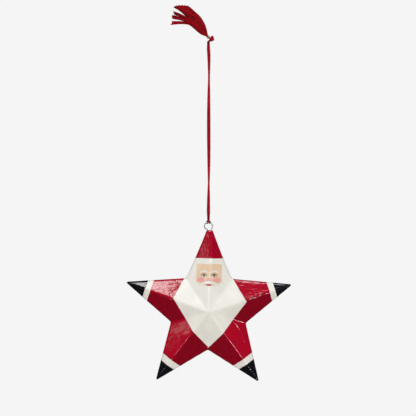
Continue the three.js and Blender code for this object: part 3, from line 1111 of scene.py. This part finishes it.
# %% Coats of the face
skin_paint, shade_paint = (0.82, 0.62, 0.43), (0.62, 0.40, 0.26)
blush_paint, lip_paint = (0.86, 0.30, 0.36), (0.46, 0.006, 0.025)
iris_paint, line_paint = (0.075, 0.032, 0.014), (0.020, 0.010, 0.007)
face_waver = 0.06


def oval(across, up, centre, half_width, half_height):
    """About how far a place is inside an oval."""
    sideways, upwards = (across - centre[0]) * (1 / half_width), (up - centre[1]) * (1 / half_height)
    return (-hypotenuse(sideways, upwards) + 1) * min(half_width, half_height)


def face_coats(x, z):
    """Each coat of paint in its order: colour, shape, softness, how dense and how thick."""
    side = abs(x)
    panel = -hypotenuse((side - 6.9).most(0), (abs(z - 24.0) - 5.7).most(0)) + 1.5
    eye_x, eye_z, lid_radius, lid_offset = 3.4, 23.6, 2.225, 1.375
    upper_lid = -hypotenuse(side - eye_x, z - (eye_z - lid_offset)) + lid_radius
    lower_lid = -hypotenuse(side - eye_x, z - (eye_z + lid_offset)) + lid_radius
    eye = upper_lid.least(lower_lid)
    from_iris = hypotenuse(side - eye_x, z - (eye_z + 0.1))
    brow = (-abs(hypotenuse(side - eye_x, z - 22.8) - 3.5) + 0.42).least(z - 25.3)
    nostrils = (-abs(hypotenuse(x, z - 20.75) - 1.15) + 0.15).least(-z + 20.5)
    glint_x, glint_z, glint_radius = 0.22, eye_z + 0.36, 0.2
    left, right = (
        -hypotenuse(x - (pupil_x - glint_x), z - glint_z) + glint_radius for pupil_x in (-eye_x, eye_x)
    )
    glints = left.most(right)
    lobe = -(side * side) * 0.047 + 19.05
    moustache = (-(side * side) * 0.019 + 1.0 - abs(z - lobe)).least(-side + 7.0).least(side + 0.25)
    beard = side * side * 0.032 + 16.75 - z
    lips = oval(x, z, (0, 17.55), 1.8, 0.68)
    between_lips = (-abs(z - 17.72 + side * side * 0.06) + 0.09).least(-side + 1.4)
    return [
        (skin_paint, panel, 0.15, 1, 0.03),
        (shade_paint, oval(side, z, (eye_x, eye_z + 0.55), 2.7, 1.75), 0.6, 0.3, 0),
        (blush_paint, oval(side, z, (5.2, 20.6), 2.5, 1.6), 0.7, 0.8, 0),
        (white_paint, oval(x, z, (0, 22.7), 0.75, 2.9), 0.4, 0.35, 0),
        (blush_paint, oval(x, z, (0, 20.85), 1.25, 1.2), 0.4, 0.65, 0),
        (lip_paint, nostrils, 0.12, 0.65, 0),
        (white_paint, brow, 0.14, 1, 0.05),
        (white_paint, eye, 0.08, 1, 0),
        (iris_paint, eye.least(-from_iris + 0.78), 0.08, 1, 0),
        (line_paint, eye.least(-from_iris + 0.4), 0.08, 1, 0),
        (white_paint, glints, 0.06, 0.95, 0),
        (line_paint, -abs(eye) + 0.1, 0.07, 0.85, 0),
        (line_paint, (-abs(upper_lid) + 0.2).least(z - eye_z), 0.08, 0.95, 0),
        (white_paint, beard, 0.2, 1, 0.05),
        (lip_paint, lips, 0.1, 1, 0.02),
        (line_paint, between_lips, 0.08, 0.6, 0),
        (shade_paint, moustache + 0.22, 0.25, 0.35, 0),
        (white_paint, moustache, 0.14, 1, 0.07),
    ]


# %% [markdown]
# ## One painted point
#
# A coat is a colour that covers what lies below it, as far as its mask says, and it adds its
# own thickness. A point takes its coats in the order in which they were painted: red, white,
# the tip, and on the head the face. The white of the band is daubed and the beard is combed
# down with the brush, so these two have a relief of their own.

# %% Helpers for the coats
daub_height, daub_edge = 0.4, 0.3
combed_height = 0.14
panel_edge = 0.1


def coat_mask(tree, point, distance, softness=0.1, waver=0.25):
    """Where a coat of paint lies: 1 inside its border, and 0 outside."""
    given = {"Distance": distance, "Point": point, "Waver": waver, "Softness": softness}
    return Field(use_group(tree, brushed_edge, given)["Mask"])


def lacquer_run(x, z):
    """The thin curved bead of lacquer, from 0 beside it to 1 on its crest."""
    from_run = abs(hypotenuse(x - run_centre[0], z - run_centre[1]) - run_radius)
    return rising(-from_run, -run_half_width, 0) * rising(z, run_end, run_end + run_fade)


def brushed_relief(tree, point, z, band):
    """The daubs of the hat's band, above its lower edge, and the combed beard below it."""
    daubs = noise_at(tree, point, (1.1, 0.5, 0.45), 3.0) * rising(z, band - daub_edge, band + daub_edge)
    combed = noise_at(tree, point, (1.3, 1.3, 0.2), 3.0) * falling(z, band - daub_edge, band)
    return daubs * daub_height + combed * combed_height


# %% Paint of one point
def painted_point(node, turn):
    """The painted finish of one point of the star."""
    material, tree, shader = new_finish(node.replace("star", "paint"), gloss)
    along_point, on_star = place_on_star(tree, turn), place_on_star(tree)
    across, depth, along = parts_of(tree, along_point)
    x, _, z = parts_of(tree, on_star)
    in_front = rising(-depth, 0.0, 1.0)
    start, end = cuffs[node]
    is_head = node == "star_head_point"
    tip = coat_mask(tree, on_star, along - end)
    if is_head:
        white = calm = coat_mask(tree, on_star, -along + end)
        # Painted shade: the hat's red is darkened a little, a little more right of its ridge.
        right_of_ridge = rising(across - hat_ridge_shift, -ridge_blend, ridge_blend)
        shade_share = between(right_of_ridge, hat_shade_left, hat_shade_right)
    else:
        first, second = (inside_line(x, z, number) for number in front_lines[node])
        cuff = coat_mask(tree, on_star, (along - start).least(-along + end))
        white = coat_mask(tree, on_star, first.least(second)).most(cuff)
        calm = white.most(tip)
        # Painted shade: each limb's lower facet is darker red.
        shade_share = rising(across * math.copysign(1, turn), -ridge_blend, ridge_blend)
    # The red with its painted shade laid over it.
    red = painted_over(tree, shade_share, red_paint, painted_shade_red)
    color = painted_over(tree, white, red, white_paint)
    color = painted_over(tree, tip, color, red if is_head else black_paint)
    height = white * coat_thickness + tip * coat_thickness
    if node == run_on:
        height = height + lacquer_run(x, z) * in_front * run_height
    if is_head:
        height = height + brushed_relief(tree, on_star, z, start) * white
        in_panel = in_front * falling(z, start - panel_edge, start + panel_edge)
        for paint, distance, softness, density, thickness in face_coats(x, z):
            share = coat_mask(tree, on_star, distance, softness, face_waver) * density * in_panel
            color = painted_over(tree, share, color, paint)
            if thickness:
                height = height + share * thickness
    brushed = use_group(tree, brush_tone, {
        "Color": color, "Point": along_point, "Streaks": 0.16, "Blotches": 0.2})
    feed(shader.inputs["Base Color"], brushed["Color"])
    feed(shader.inputs["Roughness"], between(white, glossy_roughness, white_roughness))
    ripple = use_group(tree, lacquer_ripple, {
        "Point": along_point, "Waves": 0.17, "Crests": between(calm, crests_on[node], calm_crests),
        "Furrows": 0.02, "Specks": 0.04})
    relief(tree, shader, Field(ripple["Height"]) + height)
    return material


for node, turn in turns.items():
    points[node].data.materials.append(painted_point(node, turn))

# %% [markdown]
# ## Cotton, thread and wire
#
# Cotton scatters light softly and has a pale bloom of loose hairs, which the shader's sheen
# gives. Its fibres follow the strand, so they are drawn on each strand's own place: round its
# middle line and along it. A flat noise in space would run across the twist instead.

# %% Strand finishes
def strand_finish(name, color, groove_shade, radius, hairs, contrast, settings):
    """A spun strand. Its second colour is painted shade, darker between its plies."""
    material, tree, shader = new_finish(name, settings)
    fibre = use_group(tree, yarn_fibre, {"Place": place_on_strand(tree), "Radius": radius, "Hairs": hairs})
    mixed = painted_over(tree, fibre["GrooveShade"], color, groove_shade)
    toned = brightened(tree, mixed, Field(fibre["Tone"]) * contrast + 1)
    feed(shader.inputs["Base Color"], toned)
    relief(tree, shader, fibre["Height"])
    return material


cotton = {"Roughness": 0.85, "Specular IOR Level": 0.15,
          "Sheen Weight": 0.07, "Sheen Roughness": 0.4, "Sheen Tint": (1.0, 0.25, 0.3)}
thread = {"Roughness": 0.5, "Specular IOR Level": 0.5, "Metallic": 0.1}
cotton_hairs, thread_hairs = 0.03, 0.01
# The second colour of each strand is painted shade for the grooves between its plies.
cord_cotton = strand_finish("red_cotton_cord", (0.63, 0.007, 0.032), (0.26, 0.001, 0.008),
                            cord_diameter / 2, cotton_hairs, 0.7, cotton)
# The knot is painted darker than the cord, as painted shade: pulled tight, it lets less light in between
# its fibres.
knot_cotton = strand_finish("red_cotton_knot", (0.46, 0.005, 0.024), (0.15, 0.001, 0.005),
                            knot_strand / 2, cotton_hairs, 0.7, cotton)
yarn_cotton = strand_finish("red_cotton_yarn", (0.60, 0.004, 0.020), (0.30, 0.001, 0.006),
                            yarn_diameter / 2, cotton_hairs, 1.5, cotton)
gold_thread = strand_finish("gold_thread", (0.85, 0.60, 0.32), (0.40, 0.22, 0.09),
                            thread_diameter / 2, thread_hairs, 0.7, thread)
for pieces, finish in (([*legs.values(), hitch], cord_cotton), ([knot], knot_cotton),
                       ([tassel], yarn_cotton), ([binding], gold_thread)):
    for piece in pieces:
        piece.data.materials.append(finish)


# %% Wire finish
clean_steel, tarnished_steel, tarnish_density = (0.56, 0.55, 0.53), (0.26, 0.21, 0.16), 0.5


def drawn_steel():
    """Steel wire: fine lines from the drawing die, and a little brown tarnish."""
    material, tree, shader = new_finish("drawn_steel_wire", {"Metallic": 1.0})
    place = place_on_strand(tree)
    lines = noise_at(tree, place, (12, 12, 0.25), 3.0)
    tarnish = rising(noise_at(tree, place, (0.9, 0.9, 0.5), 4.0), -0.02, 0.16)
    color = painted_over(tree, tarnish * tarnish_density, clean_steel, tarnished_steel)
    feed(shader.inputs["Base Color"], color)
    feed(shader.inputs["Roughness"], lines * 0.15 + tarnish * 0.15 + 0.4)
    relief(tree, shader, lines * 0.008)
    return material


wire.data.materials.append(drawn_steel())

# %% [markdown]
# ## Studio
#
# The ornament hangs in a pale studio over a pale floor. A large softbox overhead and one from
# the front give the even light. The other lamps are for the gloss. Each facet is nearly a flat
# mirror, so it shows one patch of the room:
#
# - the window, up on the left, shines in the left arm's top facet;
# - the side softbox shines in the hat's left facet and at the top of the left leg;
# - four small lamps draw thin lines of light: on the ridge of each leg, in the valley over the
#   right leg and beside the right arm's ridge.
#
# The pale background is only a colour. The world shows it to the camera, to glass and, behind
# the ornament, to gloss. The rest of the room stays dim, or the haze of its reflection would
# wash out the dark reds. The floor lies so far down that the front view doesn't see it. From
# above it would look grey under so little light, so it is given a glow for the camera alone.

# %% World
def pale_room(pale, fill, dim):
    """A world with a pale background. fill is the colour of its soft light on the object."""
    world = bpy.data.worlds.new("pale_studio")
    world.use_nodes = True
    tree = world.node_tree
    rays = new_node(tree, "ShaderNodeLightPath", {})
    _, behind, _ = parts_of(tree, new_node(tree, "ShaderNodeTexCoord", {})["Generated"])
    gloss_level = between(rising(behind, 0.65, 0.9), dim, pale)
    seen = Field(rays["Is Camera Ray"]).most(rays["Is Transmission Ray"])
    glossy = Field(rays["Is Glossy Ray"])
    background = tree.nodes["Background"]
    direct = seen * pale + glossy * gloss_level
    either = (seen + glossy).least(1)
    feed(background.inputs["Color"], painted_over(tree, either, fill, (1, 1, 1)))
    feed(background.inputs["Strength"], direct + (-either + 1))
    return world


pale_value = 0.913
scene.view_settings.view_transform = "Standard"
scene.world = pale_room(pale_value, fill=(0.31, 0.287, 0.26), dim=0.01)

# %% Floor
floor_radius, floor_height, floor_sides = 0.9, -0.44, 64
floor_glow = 0.3


def pale_floor():
    """A disc whose rim fades into the background. It can't be seen from below."""
    mesh = bpy.data.meshes.new("pale_floor")
    rim = [2 * math.pi * i / floor_sides for i in range(floor_sides)]
    corners = [(floor_radius * math.cos(a), floor_radius * math.sin(a), floor_height) for a in rim]
    mesh.from_pydata(corners, [], [tuple(range(floor_sides))])
    disc = bpy.data.objects.new("pale_floor", mesh)
    scene.collection.objects.link(disc)
    material, tree, shader = new_finish("pale_floor_paint", {
        "Base Color": (0.9, 0.9, 0.9),
        "Roughness": 0.9,
        "Specular IOR Level": 0.1,
        "Emission Color": (1, 1, 0.98),
    })
    to_camera = new_node(tree, "ShaderNodeLightPath", {})["Is Camera Ray"]
    feed(shader.inputs["Emission Strength"], Field(to_camera) * floor_glow)
    x, y, _ = parts_of(tree, new_node(tree, "ShaderNodeTexCoord", {})["Object"])
    fade = falling(hypotenuse(x, y), 0.25 * floor_radius, 0.97 * floor_radius)
    above = -Field(new_node(tree, "ShaderNodeNewGeometry", {})["Backfacing"]) + 1
    feed(shader.inputs["Alpha"], fade * above)
    mesh.materials.append(material)
    disc.visible_glossy = False
    return disc


pale_floor()


# %% Softboxes
def softbox(name, direction, distance, size, level, color=(1, 1, 1)):
    """A lamp aimed at the star. level is the value of a white card that faces it there."""
    lamp = bpy.data.objects.new(name, bpy.data.lights.new(name, "AREA"))
    lamp.data.shape = "RECTANGLE"
    lamp.data.size, lamp.data.size_y = size
    lamp.data.energy = (math.pi * distance) ** 2 * level
    lamp.data.color = color
    towards = Vector(direction).normalized()
    lamp.location = Vector(star_centre) * MM + towards * distance
    lamp.rotation_euler = towards.to_track_quat("Z", "Y").to_euler()
    scene.collection.objects.link(lamp)
    print(name, "energy in watts:", round(lamp.data.energy, 2))


daylight, warm_white = (0.84, 0.93, 1.0), (1, 0.98, 0.94)
softbox("overhead_softbox", (0.1, -0.28, 0.955), 0.8, (0.34, 0.22), 0.26, daylight)
softbox("front_softbox", (0.0, -0.99, 0.1), 0.95, (0.3, 0.3), 0.335, warm_white)
softbox("window", (-0.245, -0.551, 0.8), 0.8, (0.165, 0.3), 0.165)
softbox("side_softbox", (-0.83, -0.5, 0.24), 0.8, (0.32, 0.26), 0.05)
softbox("left_ridge_lamp", (-0.51, -0.81, -0.29), 0.9, (0.05, 0.05), 0.012)
softbox("right_ridge_lamp", (0.505, -0.79, -0.275), 0.9, (0.05, 0.05), 0.035)
softbox("valley_lamp", (0.742, -0.578, -0.34), 0.9, (0.1, 0.1), 0.1)
softbox("streak_lamp", (0.24, -0.72, 0.65), 0.8, (0.04, 0.04), 0.01)
